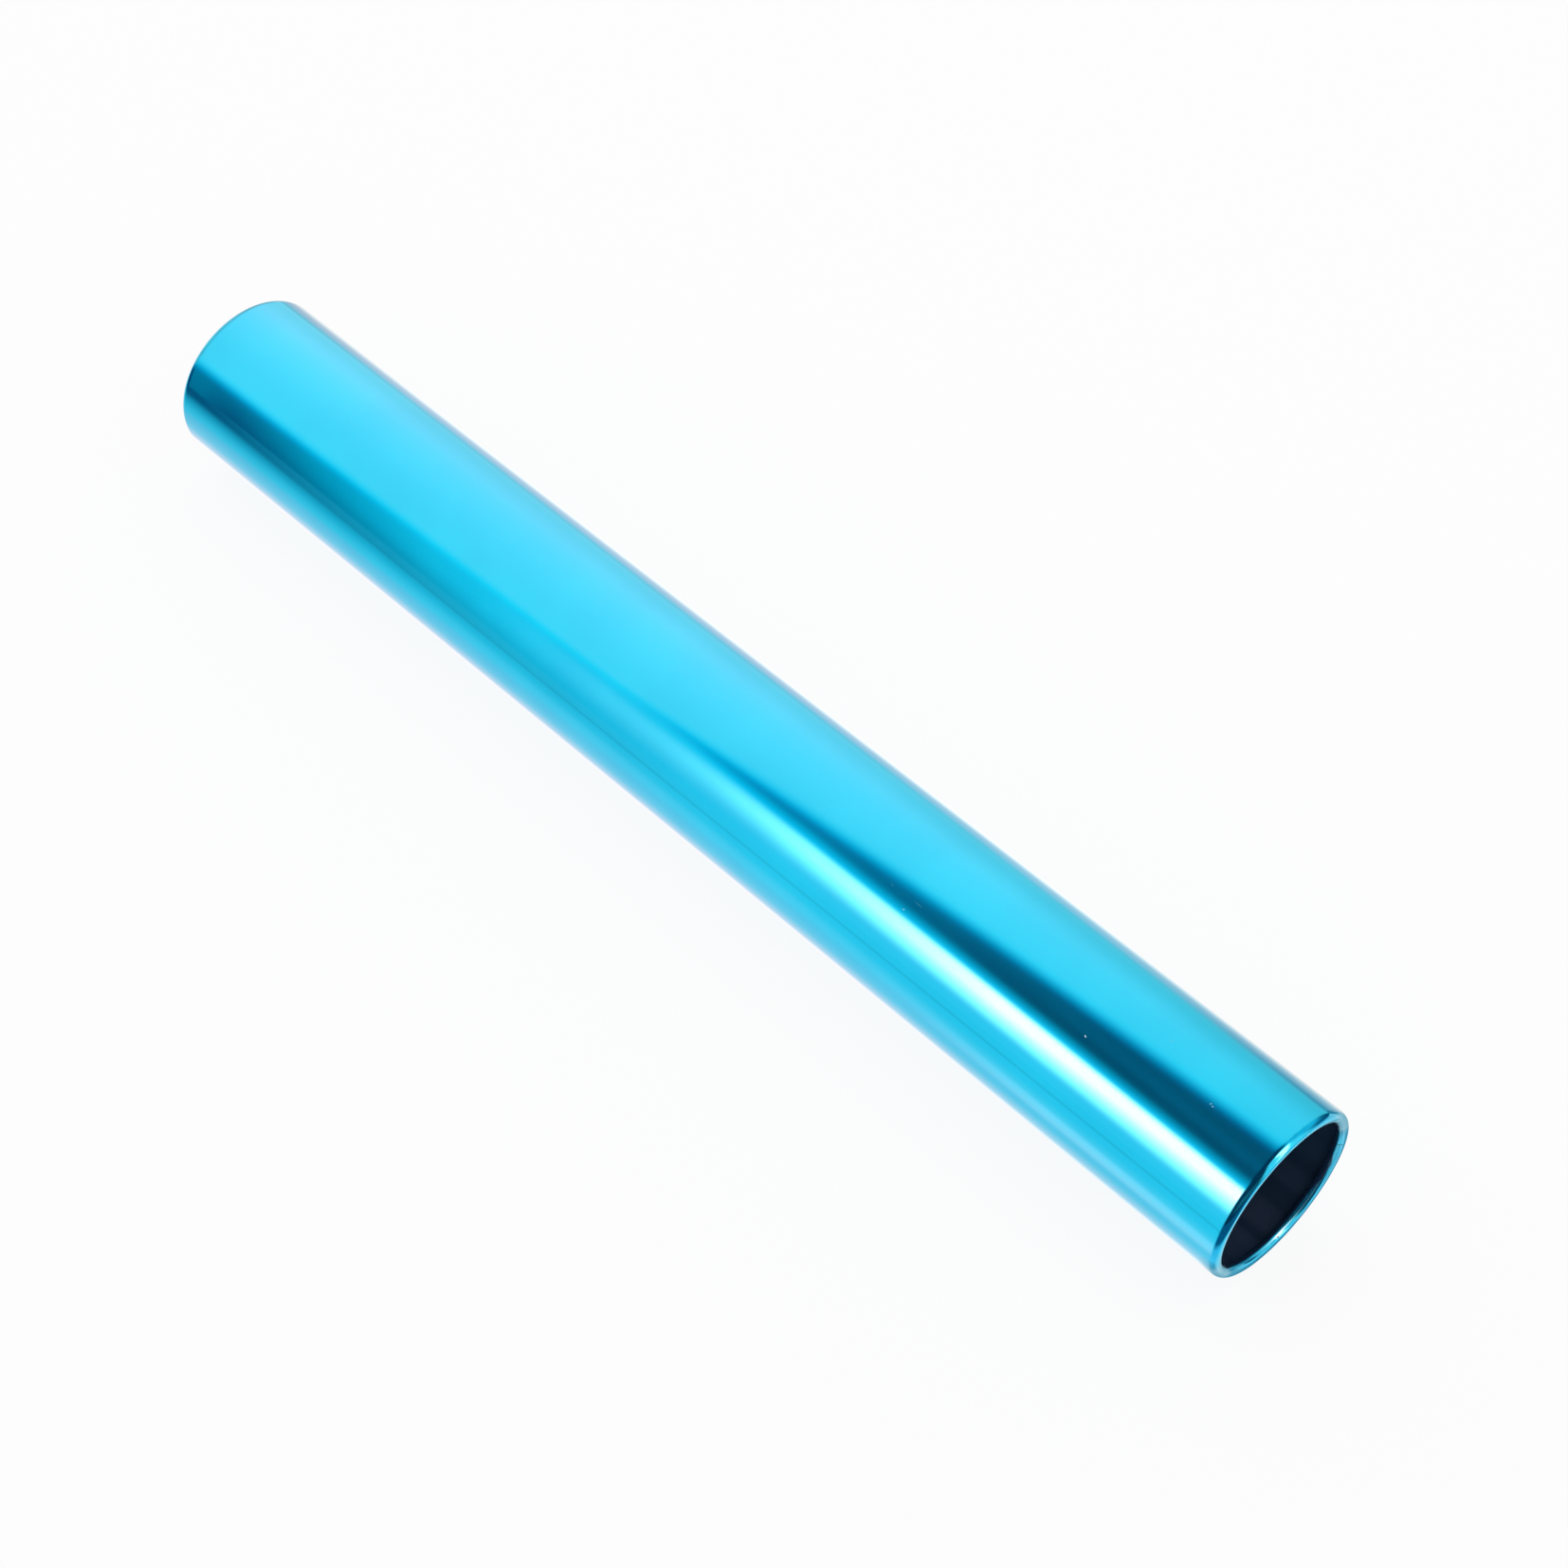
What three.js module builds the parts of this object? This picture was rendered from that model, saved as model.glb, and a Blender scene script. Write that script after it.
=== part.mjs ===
// A relay baton: one length of thin aluminium tube, anodised blue, with both ends rolled
// inwards into a round lip so that no cut edge meets the hand.
//
// Millimetres. +X runs along the baton and +Z is up. The baton lies on its side, and the origin
// is under its middle, on the surface that it lies on.

import * as THREE from "three";

// Driving dimensions
const length = 300; // over the crowns of both rolled lips
const outerDiameter = 38; // of the tube that the hand closes round
const wall = 0.6; // thickness of the sheet, the same in the tube and in its lips
const lipGap = 1.3; // clear space inside a rolled lip, from the tube's wall to the turned-back leg
const returnLeg = 0.6; // straight stretch of sheet past the half turn, ending in the cut edge

// Facets
const facetsAround = 72; // a multiple of 4, so that a facet faces down and one faces each side
const outerRollFacets = 8; // even, so that a facet faces straight out at the crown of a lip
const innerRollFacets = 6;

// Corners of a half turn made of flat facets that all touch a circle of the given radius. The
// first facet leads into the turn and the last leads out of it, so both ends stay true to size.
// Angle 0 points away from the tube's axis, and a quarter turn points out along it.
function halfTurn(radius, facets) {
  const step = Math.PI / facets;
  const cornerRadius = radius / Math.cos(step / 2);
  const corners = [];
  for (let i = 0; i < facets; i += 1) {
    const angle = (i + 0.5) * step;
    corners.push(new THREE.Vector2(cornerRadius * Math.cos(angle), cornerRadius * Math.sin(angle)));
  }
  return corners;
}

// Section of one rolled lip, from the outside of the tube over the crown and down the bore side
// of the leg, across the cut edge, and back along the inside of the sheet to the tube's inner
// wall. x is the distance from the tube's axis and y the distance along it.
function lipSection() {
  const outerRoll = wall + lipGap / 2;
  const innerRoll = lipGap / 2;
  const centre = new THREE.Vector2(outerDiameter / 2 - outerRoll, length / 2 - outerRoll);
  const outside = halfTurn(outerRoll, outerRollFacets).map((corner) => corner.add(centre));
  const inside = halfTurn(innerRoll, innerRollFacets).map((corner) => corner.add(centre));
  const cutEdge = centre.y - returnLeg;
  return [
    ...outside,
    new THREE.Vector2(centre.x - outerRoll, cutEdge),
    new THREE.Vector2(centre.x - innerRoll, cutEdge),
    ...inside.reverse(),
  ];
}

// The whole wall in one closed section: one lip, the tube, and the same lip turned end for end.
function wallSection() {
  const lip = lipSection();
  const otherLip = lip.map((corner) => new THREE.Vector2(corner.x, -corner.y)).reverse();
  return [...lip, ...otherLip, lip[0].clone()];
}

// Flat facets round the axis touch the true circles, so each corner lies a little further out.
function roundTheAxis(section) {
  const halfFacet = Math.PI / facetsAround;
  const corners = section.map((corner) => new THREE.Vector2(corner.x / Math.cos(halfFacet), corner.y));
  return new THREE.LatheGeometry(corners, facetsAround, halfFacet);
}

const anodisedBlue = new THREE.MeshStandardMaterial({
  color: 0x41d7f7,
  roughness: 0.2,
  metalness: 1,
});

const tube = new THREE.Mesh(roundTheAxis(wallSection()), anodisedBlue);
tube.name = "tube";
tube.rotation.z = -Math.PI / 2;
tube.position.z = outerDiameter / 2;

const relayBaton = new THREE.Group();
relayBaton.name = "relay_baton";
relayBaton.add(tube);

export default relayBaton;
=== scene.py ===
"""A relay baton: one drawn aluminium tube, dyed sky blue and bright anodised, with both rims rolled inwards.

It lies along X on a pale floor, in metres. Lengths below are in metres and angles in degrees, unless a name
says otherwise. Angles round the tube are counted from straight up (+Z) towards +Y.
"""

import math

import bpy
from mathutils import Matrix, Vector


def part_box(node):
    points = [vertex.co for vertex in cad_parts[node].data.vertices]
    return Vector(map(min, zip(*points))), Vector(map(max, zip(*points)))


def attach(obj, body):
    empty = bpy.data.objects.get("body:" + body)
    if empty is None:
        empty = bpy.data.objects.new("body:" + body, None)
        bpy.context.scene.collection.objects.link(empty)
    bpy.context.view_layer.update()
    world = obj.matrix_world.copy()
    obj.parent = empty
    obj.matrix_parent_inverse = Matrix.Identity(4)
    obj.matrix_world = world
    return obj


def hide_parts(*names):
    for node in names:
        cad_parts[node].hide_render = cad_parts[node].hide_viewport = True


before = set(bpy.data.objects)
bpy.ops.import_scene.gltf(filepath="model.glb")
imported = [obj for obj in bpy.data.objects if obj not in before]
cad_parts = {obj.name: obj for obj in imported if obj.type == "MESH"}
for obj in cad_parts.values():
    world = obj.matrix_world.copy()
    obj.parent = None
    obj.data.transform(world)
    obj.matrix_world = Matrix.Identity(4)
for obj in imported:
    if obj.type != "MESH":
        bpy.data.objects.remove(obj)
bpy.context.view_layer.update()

# The baton's own sizes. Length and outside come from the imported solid, and the wall, the gap in the lip and
# the returning leg repeat its own. The roll's first quarter is drawn out by the lead.
LOW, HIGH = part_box("tube")
HALF_LENGTH = (HIGH.x - LOW.x) / 2
RADIUS = (HIGH.z - LOW.z) / 2
AXIS_Z = (HIGH.z + LOW.z) / 2
WALL = 0.0006
LIP_GAP = 0.0013
LIP_RADIUS = WALL + LIP_GAP / 2
LIP_LEAD = 0.0003
RETURN_LEG = 0.0006
CUT_EDGE_BREAK = 0.00008
ROLL_START = HALF_LENGTH - LIP_RADIUS - LIP_LEAD

# How finely the sheet is faceted.
FACETS_AROUND = 256
LIP_STEPS = 18
SUPPORT_LOOP = 0.0004
CUT_EDGE_STEPS = 2
# Past these turns, in degrees, an edge is a corner that is broken, or one that shades as a crease.
CUT_EDGE_TURN = 60.0
CREASE_TURN = 40.0
# Within these lengths a point belongs to a ring, or is the same as another point.
RING_REACH = 1e-6
MERGE_REACH = 1e-7

# Slots of the finishes. The wall's inner face takes the slot two past its outer face's, or the last one,
# and the sheet's rim takes the slot before. So the bore backs the lip and the outside, and the cut edge ends
# the lip.
CUT_EDGE_SLOT, LIP_SLOT, OUTSIDE_SLOT, BORE_SLOT = range(4)

# The photograph's camera: its place, the way it looks, its lens and sensor in millimetres, and its near end.
CAMERA_PLACE = Vector((0.30361, -0.27971, 0.52565))
CAMERA_LOOKS = Vector((-0.44250, 0.43676, -0.78322))
CAMERA_LENS = 73.928
CAMERA_SENSOR = 36.0
CAMERA_CLIP = 0.01


# Small helpers for nodes


def put(tree, kind, feeds=None, **settings):
    """Adds a node, with its settings, and fills or links the inputs named in feeds."""
    made = tree.nodes.new(kind)
    for name, value in settings.items():
        setattr(made, name, value)
    for socket, value in (feeds or {}).items():
        if isinstance(value, bpy.types.NodeSocket):
            tree.links.new(value, made.inputs[socket])
        else:
            made.inputs[socket].default_value = value
    return made


def maths(tree, operation, first, second=0.0):
    """A plain sum on values, each a number or a socket."""
    return put(tree, "ShaderNodeMath", {0: first, 1: second}, operation=operation).outputs[0]


def plus(tree, first, second):
    """The two values added together."""
    return maths(tree, "ADD", first, second)


def less(tree, first, second):
    """The first value less the second."""
    return maths(tree, "SUBTRACT", first, second)


def product(tree, *factors):
    """All the factors multiplied together."""
    made = factors[0]
    for factor in factors[1:]:
        made = maths(tree, "MULTIPLY", made, factor)
    return made


def sum_of_squares(tree, first, second):
    """The square of a length from its two legs."""
    return plus(tree, product(tree, first, first), product(tree, second, second))


def length_of(tree, first, second):
    """A length from its two legs."""
    return maths(tree, "SQRT", sum_of_squares(tree, first, second))


def bearing_of(tree, aside, ahead):
    """Degrees from straight ahead to a place."""
    return maths(tree, "DEGREES", maths(tree, "ARCTAN2", aside, ahead))


def axes_of(tree, place):
    """The X, Y and Z of a place."""
    return put(tree, "ShaderNodeSeparateXYZ", {"Vector": place}).outputs


def any_of(tree, masks):
    """The strongest of some masks."""
    made = masks[0]
    for mask in masks[1:]:
        made = maths(tree, "MAXIMUM", made, mask)
    return made


def ramp(tree, kind, value, start, end, low, high):
    """Takes value from start..end to low..high, held outside, in the given kind of line."""
    feeds = {"Value": value, "From Min": start, "From Max": end, "To Min": low, "To Max": high}
    return put(tree, "ShaderNodeMapRange", feeds, interpolation_type=kind).outputs["Result"]


def fade(tree, value, start, end, low=0.0, high=1.0):
    """Eases value from start..end to low..high, held outside."""
    return ramp(tree, "SMOOTHSTEP", value, start, end, low, high)


def slope(tree, value, start, end, low=0.0, high=1.0):
    """Takes value in a straight line from start..end to low..high, held outside."""
    return ramp(tree, "LINEAR", value, start, end, low, high)


def between(tree, mask, low, high):
    """Goes from low to high as a mask goes from 0 to 1."""
    return slope(tree, mask, 0.0, 1.0, low, high)


def band(tree, value, start, end):
    """1 in a band of value, given by the ramps at its start and its end."""
    return product(tree, fade(tree, value, *start), fade(tree, value, *end))


def level(tree, red, green, blue):
    """A colour or a place from three values, each a number or a socket."""
    return put(tree, "ShaderNodeCombineXYZ", {"X": red, "Y": green, "Z": blue}).outputs[0]


def blend_colours(tree, share, first, second):
    """From the first colour to the second as share goes from 0 to 1."""
    made = put(tree, "ShaderNodeMix", {"Factor": share, "A": first, "B": second}, data_type="RGBA")
    return made.outputs["Result"]


def mix_numbers(tree, share, first, second):
    """From the first number to the second as share goes from 0 to 1."""
    return put(tree, "ShaderNodeMix", {0: share, 2: first, 3: second}, data_type="FLOAT").outputs[0]


def mix_levels(tree, share, first, second):
    """From the first light to the second as share goes from 0 to 1."""
    return put(tree, "ShaderNodeMix", {0: share, 4: first, 5: second}, data_type="VECTOR").outputs[1]


def scale_level(tree, colour, by):
    """A light made stronger or weaker."""
    return put(tree, "ShaderNodeVectorMath", {0: colour, "Scale": by}, operation="SCALE").outputs[0]


def add_levels(tree, first, second):
    """Two lights on top of each other."""
    return put(tree, "ShaderNodeVectorMath", {0: first, 1: second}, operation="ADD").outputs[0]


def noise(tree, place, scale, detail, **feeds):
    """A cloudy pattern, mostly between 0.3 and 0.7."""
    feeds = {"Vector": place, "Scale": scale, "Detail": detail, **feeds}
    return put(tree, "ShaderNodeTexNoise", feeds).outputs["Fac"]


def object_place(tree):
    """Where a point lies on the piece, in metres."""
    return put(tree, "ShaderNodeTexCoord").outputs["Object"]


def new_group(name, inputs, outputs):
    """A node group with named sockets: inputs and outputs are lists of (name, kind, value)."""
    tree = bpy.data.node_groups.new(name, "ShaderNodeTree")
    for socket, kind, value in inputs:
        made = tree.interface.new_socket(socket, in_out="INPUT", socket_type=kind)
        if value is not None:
            made.default_value = value
    for socket, kind in outputs:
        tree.interface.new_socket(socket, in_out="OUTPUT", socket_type=kind)
    return tree, tree.nodes.new("NodeGroupInput").outputs, tree.nodes.new("NodeGroupOutput").inputs


def place_group(tree, group, feeds):
    """Places a group with its own values, and gives its outputs."""
    return put(tree, "ShaderNodeGroup", feeds, node_tree=group).outputs


# Effects that the finishes share


# A ramp, here and below, is given by where it starts and ends, and by what it goes from and to where that
# isn't 0 and 1.

# How far the die draws its lines out along the tube, how close its broad streaks lie, and their ramp.
DIE_LINE_DRAW = (0.008, 1.0, 1.0)
DIE_STREAK_SCALE = 260.0
DIE_STREAK_RAMP = (0.38, 0.66)
# The ramp from thin dye to deep.
DYE_DEPTH_RAMP = (0.35, 0.65)


def make_die_lines():
    """Fine long lines that the drawing die leaves along the tube."""
    tree, takes, gives = new_group(
        "die_lines",
        [("Position", "NodeSocketVector", None), ("Fineness", "NodeSocketFloat", 900.0)],
        [("Height", "NodeSocketFloat"), ("Streaks", "NodeSocketFloat")],
    )
    drawn_out = put(tree, "ShaderNodeMapping", {"Vector": takes["Position"], "Scale": DIE_LINE_DRAW})
    fine = noise(tree, drawn_out.outputs[0], takes["Fineness"], 4.0, Roughness=0.6)
    broad = noise(tree, drawn_out.outputs[0], DIE_STREAK_SCALE, 2.0)
    tree.links.new(fine, gives["Height"])
    tree.links.new(fade(tree, broad, *DIE_STREAK_RAMP), gives["Streaks"])
    return tree


def make_dye_cloud():
    """Slow, faint change in the depth of the dye."""
    tree, takes, gives = new_group(
        "dye_cloud",
        [("Position", "NodeSocketVector", None), ("Scale", "NodeSocketFloat", 60.0)],
        [("Depth", "NodeSocketFloat")],
    )
    cloud = noise(tree, takes["Position"], takes["Scale"], 3.0)
    tree.links.new(fade(tree, cloud, *DYE_DEPTH_RAMP), gives["Depth"])
    return tree


def make_dust_specks():
    """Sparse pale points: pin-prick chips and dust."""
    tree, takes, gives = new_group(
        "dust_specks",
        [
            ("Position", "NodeSocketVector", None),
            ("Scale", "NodeSocketFloat", 160.0),
            ("Rarity", "NodeSocketFloat", 0.93),
            ("Size", "NodeSocketFloat", 0.035),
        ],
        [("Specks", "NodeSocketFloat")],
    )
    cells = put(tree, "ShaderNodeTexVoronoi", {"Vector": takes["Position"], "Scale": takes["Scale"]})
    chance = put(tree, "ShaderNodeSeparateColor", {"Color": cells.outputs["Color"]})
    chosen = maths(tree, "GREATER_THAN", chance.outputs["Red"], takes["Rarity"])
    near = maths(tree, "LESS_THAN", cells.outputs["Distance"], takes["Size"])
    tree.links.new(product(tree, chosen, near), gives["Specks"])
    return tree


DIE_LINES = make_die_lines()
DYE_CLOUD = make_dye_cloud()
DUST_SPECKS = make_dust_specks()


# Finishes


def start_material(name):
    """A new material and its empty tree of nodes."""
    material = bpy.data.materials.new(name)
    material.use_nodes = True
    material.node_tree.nodes.clear()
    return material, material.node_tree


def end_material(tree, kind, feeds):
    """Ends a material's tree in a node of the given kind, which becomes its surface."""
    surface = put(tree, kind, feeds)
    put(tree, "ShaderNodeOutputMaterial", {"Surface": surface.outputs[0]})


def place_along(tree, position):
    """Metres along the tube, from its middle."""
    return axes_of(tree, position)["X"]


def across_axis(tree, position):
    """Metres from the tube's axis, towards +Y and up."""
    axes = axes_of(tree, position)
    return axes["Y"], less(tree, axes["Z"], AXIS_Z)


def angle_round_axis(tree, position):
    """Degrees from straight up towards +Y, seen along the tube's axis."""
    return bearing_of(tree, *across_axis(tree, position))


def distance_from_axis(tree, position):
    """Metres from the tube's axis."""
    return length_of(tree, *across_axis(tree, position))


# Chips and hairlines in the dye: place along, place round, half length, half width, slant in degrees.
PALE_CHIPS = (
    (0.10753, -27.4, 0.00028, 0.00013, -25.0),
    (0.13375, -13.6, 0.00022, 0.00007, 60.0),
    (0.13435, -14.1, 0.00018, 0.00008, 0.0),
    (0.06357, -35.4, 0.00014, 0.00010, 0.0),
)
HAIRLINES = (
    (0.06545, -27.9, 0.00105, 0.00006, -4.0),
    (0.05860, -28.4, 0.00035, 0.00007, 0.0),
    (0.12010, 1.7, 0.00045, 0.00009, 38.0),
)
# Where a mark's edge starts and is full, in squares of its half sizes.
MARK_EDGE = (1.2, 0.6)
# How much a hairline pales the dye and wears its gloss, next to a chip.
HAIRLINE_PALENESS = 0.5
HAIRLINE_WEAR = 0.4

# Colours of the body's dye, of its marks, of the bore, darkened as painted shade, and of the cut edge.
BODY_DYES = ((0.004, 0.60, 0.88, 1), (0.006, 0.63, 0.91, 1))
HAIRLINE_COLOUR = (0.20, 0.50, 0.62, 1)
CHIP_COLOUR = (0.55, 0.80, 0.9, 1)
BORE_OXIDES_AND_SHADE = ((0.017, 0.044, 0.098, 1), (0.027, 0.062, 0.128, 1))
CUT_EDGE_DYES = ((0.02, 0.10, 0.17, 1), (0.04, 0.18, 0.27, 1))
PLAIN_WHITE = (1.0, 1.0, 1.0, 1.0)


def oval_mark(tree, x, angle, mark):
    """1 inside one small oval mark on the outside wall."""
    mark_x, mark_angle, half_length, half_width, slant = mark
    along = less(tree, x, mark_x)
    round_it = product(tree, less(tree, angle, mark_angle), RADIUS * math.radians(1))
    lean, stay = math.sin(math.radians(slant)), math.cos(math.radians(slant))
    down = plus(tree, product(tree, along, stay), product(tree, round_it, lean))
    over = less(tree, product(tree, round_it, stay), product(tree, along, lean))
    down = maths(tree, "DIVIDE", down, half_length)
    over = maths(tree, "DIVIDE", over, half_width)
    return fade(tree, sum_of_squares(tree, down, over), *MARK_EDGE)


def anodised_blue():
    """Outside of the tube: dyed blue under a hard clear oxide, mirror smooth but for the die lines."""
    material, tree = start_material("anodised_blue")
    position = object_place(tree)
    lines = place_group(tree, DIE_LINES, {"Position": position, "Fineness": 1500.0})
    cloud = place_group(tree, DYE_CLOUD, {"Position": position, "Scale": 45.0})
    x, angle = place_along(tree, position), angle_round_axis(tree, position)
    chips = any_of(tree, [oval_mark(tree, x, angle, mark) for mark in PALE_CHIPS])
    hairs = any_of(tree, [oval_mark(tree, x, angle, mark) for mark in HAIRLINES])
    dye = blend_colours(tree, cloud["Depth"], *BODY_DYES)
    dye = blend_colours(tree, product(tree, hairs, HAIRLINE_PALENESS), dye, HAIRLINE_COLOUR)
    dye = blend_colours(tree, chips, dye, CHIP_COLOUR)
    marks = any_of(tree, [chips, product(tree, hairs, HAIRLINE_WEAR)])
    gloss = between(tree, lines["Streaks"], 0.11, 0.15)
    relief = put(tree, "ShaderNodeBump", {"Height": lines["Height"], "Strength": 0.05, "Distance": 0.00002})
    surface = {
        "Base Color": dye,
        "Metallic": between(tree, marks, 0.86, 0.2),
        "Roughness": maths(tree, "MAXIMUM", gloss, product(tree, marks, 0.5)),
        "Specular Tint": PLAIN_WHITE,
        "Coat Weight": 1.0,
        "Coat Roughness": 0.015,
        "Coat IOR": 1.5,
        "Normal": relief.outputs[0],
    }
    end_material(tree, "ShaderNodeBsdfPrincipled", surface)
    return material


# Where the lip is worn, and where highlights and shade are painted on it. Depths are from the rim's front
# plane, and radii from the tube's axis.
CREST_DEPTHS = (0.00034, 0.00008)
CREST_RADII = (0.0181, 0.0177)
# A pale line by the inner edge, kept to the side round SCUFF_ANGLE, up and towards the camera: worn, and a
# painted highlight.
SCUFF_RADII = (0.01764, 0.01750)
SCUFF_ANGLE = -30.0
SCUFF_SPREAD = (98.0, 74.0)
# The crest is pale all round and full on the side round SCUFF_ANGLE, up and towards the camera, where it is
# worn and also a painted highlight.
CREST_SPREAD = (130.0, 100.0)
CREST_SIDES = (0.35, 1.0)
# Where a dark band inside the roll, painted shade, starts and ends in depth.
SHADE_BAND_STARTS = (0.00038, 0.00046)
SHADE_BAND_ENDS = (0.00062, 0.00054)
# Where a pale band inside the roll, a painted highlight, starts and ends in depth.
HIGHLIGHT_BAND_STARTS = (0.00054, 0.00064)
HIGHLIGHT_BAND_ENDS = (0.00092, 0.00082)
INNER_RADII = (0.01785, 0.01770)
DULL_DEPTHS = (0.00092, 0.00112)
CRAZED_DEPTHS = (0.0013, 0.0007, 0.4, 1.0)
# Crazed patches: place round the lip, and how far to each side they reach and stay full.
CRAZED_PLACES = ((61.0, 22.0, 10.0), (-116.0, 20.0, 8.0))
# Where the dull inside of the roll, darkened as painted shade, begins sooner, or later where the shift is
# negative: place round the lip, how far to each side it reaches and stays full, and the shift in depth.
DULL_SHIFTS = (
    (56.0, 16.0, 6.0, 0.00028),
    (118.0, 16.0, 6.0, 0.00043),
    (-121.0, 15.0, 6.0, 0.00042),
    (155.0, 28.0, 10.0, -0.00024),
)
# Stretches where both flanks of the roll are darkened as painted shade: place round the lip, how far to each
# side they reach and stay full, and strength.
FLANK_SHADES = ((114.0, 24.0, 10.0, 0.38), (39.0, 13.0, 4.0, 0.30))
FLANK_SHADE_STARTS = (0.00006, 0.00016)
FLANK_SHADE_ENDS = (0.0011, 0.0008)
# Nicks across the lip: place round it, half width in degrees, and the depths where they start and end.
NICKS = ((93.9, 0.45, 0.00008, 0.00095), (173.5, 0.6, 0.00026, 0.00062))
# Shares of a nick's half width, start and end at which it is full.
NICK_FULL_SHARES = (0.6, 1.3, 0.9)
# The lip's pattern of fine rings: how close they lie, and how little a degree round the tube counts.
RING_SCALE = 9000.0
RING_DRIFT = 0.000002
GRAIN_SCALE = 2600.0
# How the rings thin the crest and darken the inside, the grain the crazed patches, and the dye's cloud the
# band of painted shade inside the roll.
RINGS_IN_CREST = (0.3, 0.7, 0.6, 1.0)
RINGS_INSIDE = (0.52, 0.42)
RINGS_INSIDE_STRENGTH = 0.5
GRAIN_IN_CRAZED = (0.3, 0.7, 0.7, 1.0)
CLOUD_IN_SHADE_BAND = (0.2, 1.0)
# How bare of dye the crazed patches and the crest are.
CRAZED_BARENESS = 0.9
CREST_BARENESS = 0.35

# Colours of the lip's dye, and of its worn places, painted highlights and painted shade, in the order in
# which they are laid on.
LIP_DYES = ((0.006, 0.56, 0.80, 1), (0.012, 0.64, 0.90, 1))
LIP_MARK_AND_LIGHT_COLOURS = {
    "ringed": (0.002, 0.28, 0.45, 1),
    # Worn pale, and a painted highlight on the side towards the camera.
    "crest": (0.17, 0.64, 0.80, 1),
    # Painted shade inside the roll.
    "inner_shade": (0.002, 0.18, 0.30, 1),
    # A painted highlight inside the roll.
    "painted_highlight": (0.16, 0.74, 0.90, 1),
    # Painted shade on the roll's flanks.
    "flank_shade": (0.002, 0.18, 0.30, 1),
    # A dull finish, darkened as painted shade.
    "dulled_and_shaded": (0.012, 0.035, 0.085, 1),
    # Worn pale, and a painted highlight on the side towards the camera.
    "scuff_and_highlight": (0.55, 0.80, 0.88, 1),
    "crazed": (0.64, 0.90, 1.0, 1),
    "specked": (0.5, 0.75, 0.85, 1),
    "nicked": (0.004, 0.05, 0.08, 1),
}


def near_angle(tree, angle, centre, spread):
    """1 near one place round the tube, fading out over spread."""
    return fade(tree, maths(tree, "ABSOLUTE", less(tree, angle, centre)), *spread)


def crazed_patches(tree, angle, grain):
    """The two places where the dye is crazed pale, cloudy at their edges."""
    patches = [near_angle(tree, angle, centre, spread) for centre, *spread in CRAZED_PLACES]
    return product(tree, any_of(tree, patches), slope(tree, grain, *GRAIN_IN_CRAZED))


def dull_inside(tree, angle, depth):
    """How far the inside of the roll has gone dull and dark, a dull finish darkened as painted shade, which
    starts at an uneven depth round the rim.
    """
    for centre, reach, full, shift in DULL_SHIFTS:
        moved = product(tree, near_angle(tree, angle, centre, (reach, full)), shift)
        depth = plus(tree, depth, moved)
    return fade(tree, depth, *DULL_DEPTHS)


def flank_shade_stretches(tree, angle, depth):
    """Painted shade: where both flanks of the roll are darker, away from its crest."""
    made = []
    for centre, reach, full, strength in FLANK_SHADES:
        made.append(product(tree, near_angle(tree, angle, centre, (reach, full)), strength))
    return product(tree, any_of(tree, made), band(tree, depth, FLANK_SHADE_STARTS, FLANK_SHADE_ENDS))


def nick_marks(tree, angle, depth):
    """The small dark nicks across the lip."""
    made = []
    width_share, start_share, end_share = NICK_FULL_SHARES
    for centre, half_width, start, end in NICKS:
        across = near_angle(tree, angle, centre, (half_width, width_share * half_width))
        along = band(tree, depth, (start, start_share * start), (end, end_share * end))
        made.append(product(tree, across, along))
    return any_of(tree, made)


def lip_marks_and_light(tree, position, cloud, grain):
    """Masks of the lip's worn places and of its painted highlights and painted shade, each 1 where the change
    is full.
    """
    depth = less(tree, HALF_LENGTH, maths(tree, "ABSOLUTE", place_along(tree, position)))
    radius = distance_from_axis(tree, position)
    angle = angle_round_axis(tree, position)
    rings = noise(tree, level(tree, depth, radius, product(tree, angle, RING_DRIFT)), RING_SCALE, 3.0)
    inner = fade(tree, radius, *INNER_RADII)
    # The pale crest: worn, and on the side towards the camera a painted highlight.
    crest = product(tree, fade(tree, depth, *CREST_DEPTHS), fade(tree, radius, *CREST_RADII))
    crest_side = between(tree, near_angle(tree, angle, SCUFF_ANGLE, CREST_SPREAD), *CREST_SIDES)
    crest = product(tree, crest, crest_side, slope(tree, rings, *RINGS_IN_CREST))
    scuff_side = near_angle(tree, angle, SCUFF_ANGLE, SCUFF_SPREAD)
    # A dark band inside the roll: painted shade.
    inner_shade = product(tree, inner, band(tree, depth, SHADE_BAND_STARTS, SHADE_BAND_ENDS))
    # The inside of the roll: a dull finish, darkened as painted shade.
    dulled_and_shaded = product(tree, inner, dull_inside(tree, angle, depth))
    crazed = product(tree, crazed_patches(tree, angle, grain), fade(tree, depth, *CRAZED_DEPTHS))
    return {
        "ringed": product(tree, inner, fade(tree, rings, *RINGS_INSIDE), RINGS_INSIDE_STRENGTH),
        "crest": crest,
        "inner_shade": product(tree, inner_shade, slope(tree, cloud, *CLOUD_IN_SHADE_BAND)),
        # A pale band inside the roll: a painted highlight.
        "painted_highlight": product(tree, inner, band(tree, depth, HIGHLIGHT_BAND_STARTS, HIGHLIGHT_BAND_ENDS)),
        # Painted shade on both flanks of the roll.
        "flank_shade": flank_shade_stretches(tree, angle, depth),
        "dulled_and_shaded": dulled_and_shaded,
        # A pale line by the inner edge on the side towards the camera: worn, and a painted highlight.
        "scuff_and_highlight": product(tree, scuff_side, fade(tree, radius, *SCUFF_RADII)),
        "crazed": product(tree, crazed, less(tree, 1.0, dulled_and_shaded)),
        "nicked": nick_marks(tree, angle, depth),
    }


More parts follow.
